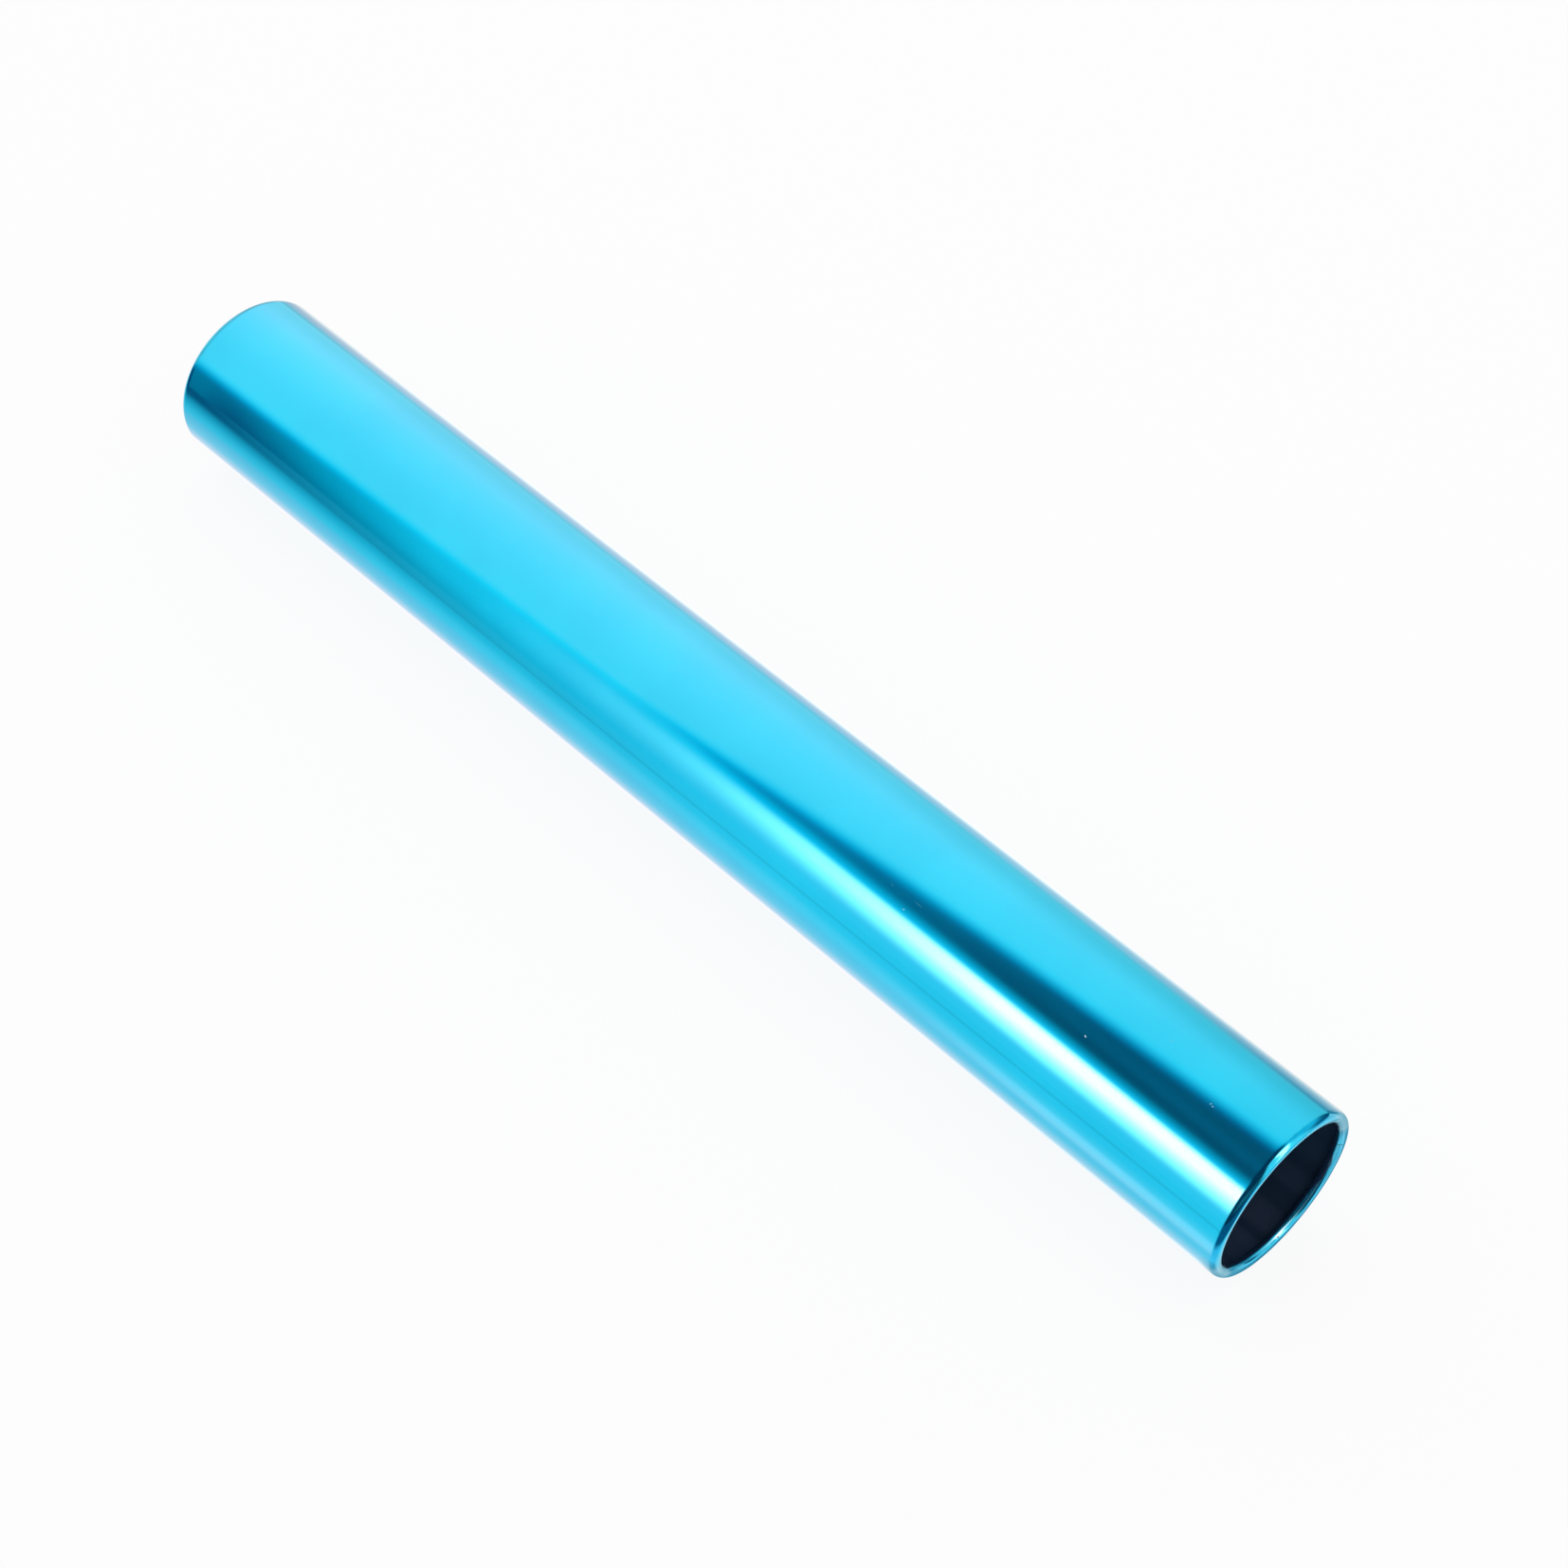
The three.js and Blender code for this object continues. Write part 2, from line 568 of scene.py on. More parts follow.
def rolled_lip_blue():
    """The rolled rims: the same dye, crazed in two places and worn pale on the crest, with painted highlights
    and painted shade on the roll.
    """
    material, tree = start_material("rolled_lip_blue")
    position = object_place(tree)
    cloud = place_group(tree, DYE_CLOUD, {"Position": position, "Scale": 420.0})["Depth"]
    grain = noise(tree, position, GRAIN_SCALE, 3.0)
    marks_and_light = lip_marks_and_light(tree, position, cloud, grain)
    sprinkled = {"Position": position, "Scale": 900.0, "Rarity": 0.92, "Size": 0.12}
    marks_and_light["specked"] = place_group(tree, DUST_SPECKS, sprinkled)["Specks"]

    dye = blend_colours(tree, cloud, *LIP_DYES)
    for name, colour in LIP_MARK_AND_LIGHT_COLOURS.items():
        dye = blend_colours(tree, marks_and_light[name], dye, colour)
    rough = any_of(tree, [marks_and_light[name] for name in ("crest", "crazed", "painted_highlight", "scuff_and_highlight", "nicked")])
    crazed = product(tree, marks_and_light["crazed"], CRAZED_BARENESS)
    crest = product(tree, marks_and_light["crest"], CREST_BARENESS)
    bare = any_of(tree, [crazed, crest, marks_and_light["dulled_and_shaded"], marks_and_light["scuff_and_highlight"]])
    height = less(tree, grain, marks_and_light["nicked"])
    relief = put(tree, "ShaderNodeBump", {"Height": height, "Strength": 0.12, "Distance": 0.00003})
    surface = {
        "Base Color": dye,
        "Metallic": between(tree, bare, 0.94, 0.3),
        "Roughness": between(tree, rough, 0.09, 0.34),
        "Specular Tint": PLAIN_WHITE,
        "Coat Weight": between(tree, marks_and_light["dulled_and_shaded"], 1.0, 0.2),
        "Coat Roughness": 0.03,
        "Coat IOR": 1.5,
        "Normal": relief.outputs[0],
    }
    end_material(tree, "ShaderNodeBsdfPrincipled", surface)
    return material


def bore_blue_black():
    """Inside wall: thin dull oxide, darkened to nearly black as painted shade in the depth of the tube."""
    material, tree = start_material("bore_blue_black")
    position = object_place(tree)
    lines = place_group(tree, DIE_LINES, {"Position": position, "Fineness": 900.0})
    # Dull oxide, darkened as painted shade.
    oxide = blend_colours(tree, lines["Streaks"], *BORE_OXIDES_AND_SHADE)
    relief = put(tree, "ShaderNodeBump", {"Height": lines["Height"], "Strength": 0.2, "Distance": 0.00003})
    surface = {
        "Base Color": oxide,
        "Metallic": 0.3,
        "Roughness": between(tree, lines["Streaks"], 0.42, 0.55),
        "Specular IOR Level": 0.3,
        "Normal": relief.outputs[0],
    }
    end_material(tree, "ShaderNodeBsdfPrincipled", surface)
    return material


def cut_edge_blue():
    """The sheet's cut edge, hidden in the mouth: dyed like the rest and a little rough."""
    material, tree = start_material("cut_edge_blue")
    position = object_place(tree)
    cloud = place_group(tree, DYE_CLOUD, {"Position": position, "Scale": 900.0})
    dye = blend_colours(tree, cloud["Depth"], *CUT_EDGE_DYES)
    rough = between(tree, cloud["Depth"], 0.3, 0.45)
    surface = {"Base Color": dye, "Metallic": 0.8, "Roughness": rough}
    end_material(tree, "ShaderNodeBsdfPrincipled", surface)
    return material


# Adding objects


def name_new_object(name):
    """Names the object that was added last, and its mesh, and gives it back."""
    made = bpy.context.object
    made.name = name
    made.data.name = name
    return made


def add_open_cylinder(name, facets, radius, x_low, x_high):
    """A cylinder with open ends on the tube's axis, from one place along it to another."""
    bpy.ops.object.select_all(action="DESELECT")
    bpy.ops.mesh.primitive_cylinder_add(
        vertices=facets,
        radius=radius,
        depth=x_high - x_low,
        end_fill_type="NOTHING",
        location=((x_low + x_high) / 2, 0.0, AXIS_Z),
        rotation=(0.0, math.pi / 2, 0.0),
    )
    made = name_new_object(name)
    bpy.ops.object.transform_apply(location=True, rotation=True, scale=True)
    return made


def add_sheet(name, side, middle):
    """A level square sheet."""
    bpy.ops.object.select_all(action="DESELECT")
    bpy.ops.mesh.primitive_plane_add(size=side, location=middle)
    return name_new_object(name)


# The tube


def select_ring(tube, x):
    """Selects the open ring of points that lies at x, and nothing else, and leaves edit mode on."""
    bpy.ops.object.mode_set(mode="EDIT")
    bpy.ops.mesh.select_mode(type="VERT")
    bpy.ops.mesh.select_all(action="DESELECT")
    bpy.ops.object.mode_set(mode="OBJECT")
    for point in tube.data.vertices:
        point.select = abs(point.co.x - x) < RING_REACH
    bpy.ops.object.mode_set(mode="EDIT")


def pull_ring(x_from, x_to, radius_from, radius_to):
    """Draws the selected ring on to a new place along the axis and a new radius."""
    bpy.ops.mesh.extrude_region_move(TRANSFORM_OT_translate={"value": (x_to - x_from, 0.0, 0.0)})
    ratio = radius_to / radius_from
    bpy.ops.transform.resize(value=(1.0, ratio, ratio), center_override=(x_to, 0.0, AXIS_Z))


def roll_rim(tube, side):
    """Rolls one rim inwards through a half turn, and turns its edge back along the bore.

    The first quarter of the roll is drawn out a little along the tube."""
    x, radius = ROLL_START - SUPPORT_LOOP, RADIUS
    select_ring(tube, side * x)
    steps = [(ROLL_START, RADIUS)]
    for step in range(1, LIP_STEPS + 1):
        turn = math.pi * step / LIP_STEPS
        reach = LIP_RADIUS + LIP_LEAD if turn < math.pi / 2 else LIP_RADIUS
        step_x = HALF_LENGTH - reach * (1 - math.sin(turn))
        steps.append((step_x, RADIUS - LIP_RADIUS * (1 - math.cos(turn))))
    steps.append((HALF_LENGTH - LIP_RADIUS - RETURN_LEG, RADIUS - 2 * LIP_RADIUS))
    for next_x, next_radius in steps:
        pull_ring(side * x, side * next_x, radius, next_radius)
        x, radius = next_x, next_radius
    bpy.ops.object.mode_set(mode="OBJECT")


def apply_modifier(piece, kind, **settings):
    """Adds a modifier with its settings and makes its result the mesh."""
    modifier = piece.modifiers.new(kind.lower(), kind)
    for name, value in settings.items():
        setattr(modifier, name, value)
    bpy.ops.object.modifier_apply(modifier=modifier.name)


def roll_tube():
    """The tube as a sheet with no thickness: a cylinder with both its rims rolled."""
    straight = ROLL_START - SUPPORT_LOOP
    tube = add_open_cylinder("baton_tube", FACETS_AROUND, RADIUS, -straight, straight)
    for side in (1, -1):
        roll_rim(tube, side)
    bpy.ops.object.mode_set(mode="EDIT")
    bpy.ops.mesh.select_all(action="SELECT")
    bpy.ops.mesh.remove_doubles(threshold=MERGE_REACH)
    bpy.ops.mesh.normals_make_consistent(inside=False)
    bpy.ops.object.mode_set(mode="OBJECT")
    return tube


def give_finishes(tube):
    """Adds the finishes in the order of their slots, and gives the lips' faces and the others theirs."""
    for finish in (cut_edge_blue(), rolled_lip_blue(), anodised_blue(), bore_blue_black()):
        tube.data.materials.append(finish)
    for face in tube.data.polygons:
        from_axis = Vector((face.center.y, face.center.z - AXIS_Z)).length
        in_lip = abs(face.center.x) > ROLL_START or from_axis < RADIUS - LIP_RADIUS
        face.material_index = LIP_SLOT if in_lip else OUTSIDE_SLOT


def make_tube():
    """The baton: the rolled sheet with its finishes, thickened inwards, and its cut edge broken."""
    tube = roll_tube()
    give_finishes(tube)
    apply_modifier(
        tube,
        "SOLIDIFY",
        thickness=WALL,
        offset=-1.0,
        use_even_offset=True,
        use_rim=True,
        material_offset=BORE_SLOT - LIP_SLOT,
        material_offset_rim=CUT_EDGE_SLOT - LIP_SLOT,
    )
    apply_modifier(
        tube,
        "BEVEL",
        width=CUT_EDGE_BREAK,
        segments=CUT_EDGE_STEPS,
        limit_method="ANGLE",
        angle_limit=math.radians(CUT_EDGE_TURN),
    )
    bpy.ops.object.shade_smooth_by_angle(angle=math.radians(CREASE_TURN))
    return tube


# The studio

# The floor: its side, its paint, and the share of plain white in what it shows.
FLOOR_SIZE = 8.0
FLOOR_PAINT = (0.97, 0.97, 0.97, 1)
FLOOR_WHITE_SHARE = 0.9

# The strength of the light all round, and the soft box over the baton: its power in watts, sides and place.
WORLD_LIGHT = 0.75
LAMP_POWER = 1.6
LAMP_SIZE = (1.0, 0.7)
LAMP_PLACE = Vector((-0.25, 0.35, 0.95))

# The half-round paper tunnel over the baton, on the tube's own axis, and how high over the floor it ends.
TUNNEL_RADIUS = 0.3
TUNNEL_FACETS = 144
TUNNEL_FOOT = 0.0004
TUNNEL_START = -0.9
TUNNEL_END = 1.6
# Where the tunnel's two lengths meet, and where the second has taken over from the first.
TUNNEL_JOIN = 0.09
TUNNEL_JOINED = 0.155

# The card of the table's sheen: its length, its middle, and how high over the floor it lies.
SHEEN_LENGTH = 2.5
SHEEN_MIDDLE = 0.35
SHEEN_LIFT = 0.0002

# The tunnel is described by the line on the tube where it shows: u along the tube in metres, and turn
# round it in degrees.
MIRROR_OFFSET = 0.1514
MIRROR_STRETCH = 1.494
MIRROR_TURN = 28.7

# The table is described by the same u. Seen in the tube, it slides along and spreads out by so much for each
# metre that it lies away from the tube's side.
TUBE_SIDE = 0.018
TABLE_SLIDE = 0.58
TABLE_SPREAD = 1.95

# How far red and blue are moved from green across the edge of a dark place: red dies first and blue last.
EDGE_LEADS = (3.0, 0.0, -0.8)

# How a lamp's green and blue fill up while its red still grows.
LAMP_FILL = 4.0
LAMP_GREEN = 1.2
LAMP_BLUE = 0.8


def background_seen(tree):
    """1 for the rays that see the background: the camera's, and those that metal and glass send on."""
    path = put(tree, "ShaderNodeLightPath").outputs
    seen = maths(tree, "MAXIMUM", path["Is Camera Ray"], path["Is Glossy Ray"])
    return maths(tree, "MAXIMUM", seen, path["Is Transmission Ray"])


def pale_floor():
    """A pale matt sheet, mostly plain white to the eye, so that only the baton's soft shadow shows."""
    material, tree = start_material("pale_floor")
    matt = put(tree, "ShaderNodeBsdfDiffuse", {"Color": FLOOR_PAINT})
    white = put(tree, "ShaderNodeEmission", {"Color": PLAIN_WHITE, "Strength": 1.0})
    share = product(tree, background_seen(tree), FLOOR_WHITE_SHARE)
    end_material(tree, "ShaderNodeMixShader", {0: share, 1: matt.outputs[0], 2: white.outputs[0]})
    return material


def soft_edge(tree, distance, half_width, lit, dark):
    """Lit where distance is over half_width and dark under its negative, in degrees round the tube."""
    moved = [less(tree, distance, lead) for lead in EDGE_LEADS]
    places = [maths(tree, "DIVIDE", place, half_width) for place in moved]
    shares = level(tree, *[fade(tree, place, 1.0, -1.0) for place in places])
    feeds = {1: shares, 4: lit, 5: dark}
    return put(tree, "ShaderNodeMix", feeds, data_type="VECTOR", factor_mode="NON_UNIFORM").outputs[1]


def bright(tree, strength):
    """A lamp's light on top of the paper's: a warm white, so that a blue metal shows it white."""
    squared = product(tree, strength, strength)
    filled = maths(tree, "DIVIDE", squared, plus(tree, squared, LAMP_FILL))
    return level(tree, strength, product(tree, filled, LAMP_GREEN), product(tree, filled, LAMP_BLUE))


def tunnel_place(tree, position):
    """The u and turn of the line on the tube that shows a place on the tunnel."""
    u = maths(tree, "DIVIDE", plus(tree, place_along(tree, position), MIRROR_OFFSET), MIRROR_STRETCH)
    turn = product(tree, less(tree, angle_round_axis(tree, position), MIRROR_TURN), 0.5)
    return u, turn


# Ramps of the paper's light and of its warmth, along u and round the tube.
PAPER_OVERHEAD = (-30.0, 0.0, 1.08, 1.17)
PAPER_LOW_DOWN = (8.0, 32.0)
PAPER_LOW_LIGHT = (0.13, 0.0, 0.73, 0.82)
PAPER_MOUTHWARDS = (0.17, 0.03, 0.84, 1.0)
PAPER_PAST_END = (-0.155, -0.20, 1.0, 0.65)
WARMTH_ALONG = (0.15, 0.0, 0.57, 1.2)
WARMTH_ROUND = (-36.0, 14.0, 0.7, 1.12)
WARMTH_LOW_DOWN = (12.0, 30.0, 1.0, 0.55)


def white_paper(tree, u, turn):
    """The lit paper overhead: dimmer low down and past both ends, and warmer to the far end."""
    overhead = fade(tree, turn, *PAPER_OVERHEAD)
    sinking = fade(tree, turn, *PAPER_LOW_DOWN, 1.0, slope(tree, u, *PAPER_LOW_LIGHT))
    mouthwards = slope(tree, u, *PAPER_MOUTHWARDS)
    past_end = fade(tree, u, *PAPER_PAST_END)
    white = product(tree, overhead, sinking, mouthwards, past_end)
    warmth = product(
        tree,
        slope(tree, u, *WARMTH_ALONG),
        fade(tree, turn, *WARMTH_ROUND),
        fade(tree, turn, *WARMTH_LOW_DOWN),
    )
    return level(tree, product(tree, white, warmth), white, white)


# The slit: its upper edge in degrees round the tube, by how it rises and bends along u, and the edge's blur.
SLIT_EDGE_START = -35.3
SLIT_EDGE_RISE = 252.0
SLIT_EDGE_BEND = -530.0
SLIT_BLUR = (0.0, 0.12, 3.2, 5.2)
# The green and blue inside it, before and after it closes, and the glow below.
SLIT_CLOSING = (0.10, 0.02)
SLIT_GREENS = (0.004, 0.22)
SLIT_BLUES = (0.06, 0.36)
SLIT_GLOW = (0.0, 0.82, 0.96)
SLIT_GLOW_TOP = (-30.5, -39.0)
# The streak in it: where it lies round the tube and along u, and its green and blue.
STREAK_TOP = (-19.5, -23.0)
STREAK_FOOT = (-28.5, -25.5)
STREAK_MOUTHWARDS = (0.08, 0.11)
STREAK_GREEN = 0.04
STREAK_BLUE = 0.05


def slit_edge(tree, u):
    """Where the slit's upper edge runs, in degrees round the tube."""
    rise, bend = product(tree, u, SLIT_EDGE_RISE), product(tree, u, u, SLIT_EDGE_BEND)
    return plus(tree, plus(tree, rise, bend), SLIT_EDGE_START)


def camera_slit(tree, u, turn):
    """The dark gap in the paper where the camera looks in: a faint streak in it, and a blue glow below."""
    streak = product(tree, band(tree, turn, STREAK_TOP, STREAK_FOOT), fade(tree, u, *STREAK_MOUTHWARDS))
    closing = fade(tree, u, *SLIT_CLOSING)
    green = plus(tree, between(tree, closing, *SLIT_GREENS), product(tree, streak, STREAK_GREEN))
    blue = plus(tree, between(tree, closing, *SLIT_BLUES), product(tree, streak, STREAK_BLUE))
    return mix_levels(tree, fade(tree, turn, *SLIT_GLOW_TOP), level(tree, 0.0, green, blue), SLIT_GLOW)


# The wall: its upper edge in degrees round the tube, by how it drops to the far end, and that edge's blur.
WALL_EDGE_START = -37.9
WALL_EDGE_DROP = 46.0
WALL_BLUR = (0.0, -0.14, 1.6, 4.2)
WALL_REDS = (-0.105, 0.055, 0.0, 0.40)
WALL_GREEN = 0.93
WALL_BLUE = 1.0
# Painted shade: what the wall dies into towards the far corner, and what the table in front is shaded with.
DEEP_SHADE = (0.0, 0.015, 0.11)
# How the dark grows to the far corner, high up and low down, and the small patch past it. A bend is the
# power that a ramp is raised to.
FAR_CORNER = (0.03, -0.135)
FAR_CORNER_BEND = 1.3
WALL_HIGH_DARK = (-0.04, -0.13, 0.05, 0.91)
WALL_LOW_DARK = (-46.0, -59.0)
WALL_LOW_BEND = 1.6
WALL_FOOT_DARK = (-62.0, -67.0, 1.0, 0.7)
WALL_LOW_DARK_ALONG = (-0.13, -0.10, 1.0, 0.8)
FAR_PATCH_START = (-0.1405, -0.1465)
FAR_PATCH_END = (-0.160, -0.152)
FAR_PATCH_STRENGTH = 0.22


def wall_edge(tree, u):
    """Where the wall's upper edge runs, in degrees round the tube."""
    drop = product(tree, maths(tree, "MINIMUM", u, 0.0), WALL_EDGE_DROP)
    return plus(tree, drop, WALL_EDGE_START)


def far_corner(tree, u):
    """How far the light has died away towards the tube's far end."""
    return maths(tree, "POWER", slope(tree, u, *FAR_CORNER), FAR_CORNER_BEND)


def camera_side_wall(tree, u, turn):
    """The wall below the slit: blue-white by the mouth, and dying away into the dark far corner."""
    red = slope(tree, u, *WALL_REDS)
    high_dark = slope(tree, u, *WALL_HIGH_DARK)
    low_dark = maths(tree, "POWER", slope(tree, turn, *WALL_LOW_DARK), WALL_LOW_BEND)
    along = slope(tree, u, *WALL_LOW_DARK_ALONG)
    low_dark = product(tree, low_dark, fade(tree, turn, *WALL_FOOT_DARK), along)
    low_dark = product(tree, low_dark, less(tree, 1.0, high_dark))
    dark = plus(tree, high_dark, low_dark)
    patch = product(tree, band(tree, u, FAR_PATCH_START, FAR_PATCH_END), FAR_PATCH_STRENGTH)
    dim = product(tree, far_corner(tree, u), dark, less(tree, 1.0, patch))
    return mix_levels(tree, dim, level(tree, red, WALL_GREEN, WALL_BLUE), DEEP_SHADE)


# The strip light: its strength, where it grows and ends along u, and how it rises and falls round the tube.
STRIP_STRENGTH = 18.3
STRIP_ALONG = (-0.01, 0.09)
STRIP_ALONG_BEND = 2.2
STRIP_END = (0.185, 0.165)
STRIP_RISE = (-37.2, -41.3)
STRIP_FALL = (-57.3, -45.0)
STRIP_FALL_BEND = 2.0
# The same of what it spills on the wall.
SPILL_STRENGTH = 0.8
SPILL_ALONG = (-0.06, 0.01)
SPILL_RISE = (-39.0, -45.0)
SPILL_FALL = (-60.0, -47.0)


def strip_lamp(tree, u, turn):
    """The strip light under the slit, bright by the mouth and gone past the middle of the tube."""
    strength = maths(tree, "POWER", slope(tree, u, *STRIP_ALONG), STRIP_ALONG_BEND)
    strength = product(tree, strength, fade(tree, u, *STRIP_END), STRIP_STRENGTH)
    rise = fade(tree, turn, *STRIP_RISE)
    fall = maths(tree, "POWER", slope(tree, turn, *STRIP_FALL), STRIP_FALL_BEND)
    spill = product(tree, fade(tree, u, *SPILL_ALONG), band(tree, turn, SPILL_RISE, SPILL_FALL))
    lamp = product(tree, strength, rise, fall)
    return plus(tree, lamp, product(tree, spill, SPILL_STRENGTH))


# Where the wall takes over from the slit's glow as the paper's lower neighbour, along u.
WALL_MEETS_PAPER = (-0.02, 0.02)


def tunnel_light(tree, position):
    """What the paper tunnel over the tube sends to the metal."""
    u, turn = tunnel_place(tree, position)
    above_slit = less(tree, turn, slit_edge(tree, u))
    slit_blur = slope(tree, u, *SLIT_BLUR)
    shown = soft_edge(tree, above_slit, slit_blur, white_paper(tree, u, turn), camera_slit(tree, u, turn))
    wall_from = wall_edge(tree, u)
    above_wall = less(tree, turn, wall_from)
    wall_blur = slope(tree, u, *WALL_BLUR)
    wall = camera_side_wall(tree, u, turn)
    paper_to_wall = soft_edge(tree, above_wall, wall_blur, shown, wall)
    slit_to_wall = soft_edge(tree, less(tree, wall_from, turn), wall_blur, wall, shown)
    shown = mix_levels(tree, fade(tree, u, *WALL_MEETS_PAPER), paper_to_wall, slit_to_wall)
    return add_levels(tree, shown, bright(tree, strip_lamp(tree, u, turn)))


# Past the mouth a place is given by the way to it from the lip's centre, as X, Y and Z that make a length of
# 1, and by its bearing in degrees from straight ahead.

# The dark room on the camera's side: its edge in Y by X, that edge's blur, and a dimmer band in it.
ROOM_DARK = (0.0, 0.01, 0.05)
ROOM_DIM = (0.1, 0.14, 0.17)
ROOM_EDGE = (0.1, 0.42, 0.28, -0.2)
ROOM_EDGE_AHEAD = (0.88, 1.0, 0.0, 0.16)
ROOM_BLUR = (0.08, -0.08)
DIM_BAND_FOOT = (0.1, 0.25)
DIM_BAND_TOP = (0.6, 0.4)
DIM_BAND_BEARING = (-72.0, -60.0)
# The paper behind, and where it darkens to the side.
MOUTH_PAPER = (0.66, 1.03, 1.06)
MOUTH_PAPER_ASIDE = (0.12, 0.66, 0.80)
MOUTH_PAPER_BEARING = (36.0, 60.0)
# The window: its sides in Y, the nearer one by X, where it starts ahead, and its strength by height.
WINDOW_NEAR_SIDE = (0.45, 0.78, -0.04, 0.12)
WINDOW_NEAR_BLUR = (0.0, 0.12)
WINDOW_FAR_BLUR = (0.40, 0.29)
WINDOW_AHEAD = (0.24, 0.5)
WINDOW_STRENGTH = (-0.1, 0.5, 0.6, 10.0)
# The dim skirting under the paper.
SKIRTING = (0.0, 0.07, 0.16)
SKIRTING_TOP = (0.55, 0.08)
SKIRTING_BEARING = (38.0, 58.0)
SKIRTING_STRENGTH = 0.97


def mouth_light(tree, position):
    """The tunnel past the mouth: dark on the camera's side, white behind, a window and a dim skirting."""
    lip_centre = (HALF_LENGTH, 0.0, AXIS_Z)
    offset = put(tree, "ShaderNodeVectorMath", {0: position, 1: lip_centre}, operation="SUBTRACT")
    way = put(tree, "ShaderNodeVectorMath", {0: offset.outputs[0]}, operation="NORMALIZE").outputs[0]
    x, y, z = axes_of(tree, way)
    bearing = bearing_of(tree, y, x)
    dim_band = band(tree, z, DIM_BAND_FOOT, DIM_BAND_TOP)
    dim_band = product(tree, dim_band, fade(tree, bearing, *DIM_BAND_BEARING))
    room = mix_levels(tree, dim_band, ROOM_DARK, ROOM_DIM)
    paper = mix_levels(tree, fade(tree, bearing, *MOUTH_PAPER_BEARING), MOUTH_PAPER, MOUTH_PAPER_ASIDE)
    edge = plus(tree, fade(tree, x, *ROOM_EDGE), fade(tree, x, *ROOM_EDGE_AHEAD))
    dark = fade(tree, less(tree, y, edge), *ROOM_BLUR)
    shown = mix_levels(tree, dark, paper, room)
    window_side = less(tree, y, fade(tree, x, *WINDOW_NEAR_SIDE))
    window = product(
        tree,
        fade(tree, window_side, *WINDOW_NEAR_BLUR),
        fade(tree, y, *WINDOW_FAR_BLUR),
        fade(tree, x, *WINDOW_AHEAD),
        fade(tree, z, *WINDOW_STRENGTH),
    )
    shown = add_levels(tree, shown, bright(tree, window))
    skirting = product(tree, fade(tree, z, *SKIRTING_TOP), fade(tree, bearing, *SKIRTING_BEARING))
    shown = mix_levels(tree, product(tree, skirting, SKIRTING_STRENGTH), shown, SKIRTING)
    past_join = fade(tree, place_along(tree, position), TUNNEL_JOIN, TUNNEL_JOINED)
    return mix_levels(tree, past_join, tunnel_light(tree, position), shown)


# The table beyond the baton, in three parts across the tube, with the reds of two of them by u.
BEHIND_NEAR = (1.12, 1.10, 1.08)
BEHIND_MIDDLE_START = (0.045, 0.08)
BEHIND_MIDDLE_REDS = (0.06, 0.0, 0.78, 0.95)
BEHIND_MIDDLE_GREEN = 0.77
BEHIND_MIDDLE_BLUE = 0.82
BEHIND_FAR_START = (0.08, 0.25)
BEHIND_FAR_REDS = (0.06, 0.0, 0.38, 0.46)
BEHIND_FAR_GREEN = 0.81
BEHIND_FAR_BLUE = 0.83
# Its corner by the mouth, and how it dims past both ends.
CORNER = (0.04, 0.28, 0.42)
CORNER_ALONG = (0.062, 0.115)
CORNER_ACROSS = (0.07, 0.18)
CORNER_STRENGTH = 0.8
BEHIND_MOUTH_END = (0.18, 0.06, 0.7, 1.0)
BEHIND_FAR_END = (-0.17, -0.09, 0.8, 1.0)


def table_behind(tree, x, y, u):
    """The table beyond the baton, seen along its upper edge."""
    red = fade(tree, u, *BEHIND_MIDDLE_REDS)
    middle = level(tree, red, BEHIND_MIDDLE_GREEN, BEHIND_MIDDLE_BLUE)
    shown = mix_levels(tree, fade(tree, y, *BEHIND_MIDDLE_START), BEHIND_NEAR, middle)
    far = level(tree, fade(tree, u, *BEHIND_FAR_REDS), BEHIND_FAR_GREEN, BEHIND_FAR_BLUE)
    shown = mix_levels(tree, fade(tree, y, *BEHIND_FAR_START), shown, far)
    corner = product(tree, fade(tree, x, *CORNER_ALONG), fade(tree, y, *CORNER_ACROSS), CORNER_STRENGTH)
    shown = mix_levels(tree, corner, shown, CORNER)
    ends = product(tree, fade(tree, u, *BEHIND_MOUTH_END), fade(tree, u, *BEHIND_FAR_END))
    return scale_level(tree, shown, ends)


# The table on the camera's side, and the bands over it: where each starts and is full, across the tube.
IN_FRONT = (0.60, 0.95, 0.99)
FRONT_BANDS = (
    (-0.045, -0.033, (0.58, 0.85, 0.92)),
    (-0.0265, -0.0205, (0.84, 0.87, 0.93)),
    (-0.0195, -0.0160, (1.10, 1.02, 1.04)),
    (-0.048, -0.07, (0.30, 0.90, 0.96)),
)
# Its shade across the tube and along u, and the thin line of its edge.
FRONT_SHADE_ACROSS = (-0.01, -0.13)
FRONT_SHADE_ALONG = (-0.09, -0.13, 0.88, 0.98)
TABLE_EDGE_START = (-0.113, -0.105)
TABLE_EDGE_END = (-0.095, -0.101)
TABLE_EDGE_LIGHTS = (1.0, 0.70)
# How much of its red is left, along u, and where across the tube the second takes over from the first.
FRONT_FAR_REDS = (0.0, -0.10, 1.0, 0.5)
FRONT_NEAR_REDS = (0.04, 0.11, 1.05, 0.90)
FRONT_REDS_MEET = (-0.046, -0.034)
# A warm glint by the mouth.
GLINT_START = (-0.052, -0.041)
GLINT_END = (-0.029, -0.036)
GLINT_ALONG = (0.05, 0.12)
GLINT_GREEN = 0.22
GLINT_BLUE = 0.16


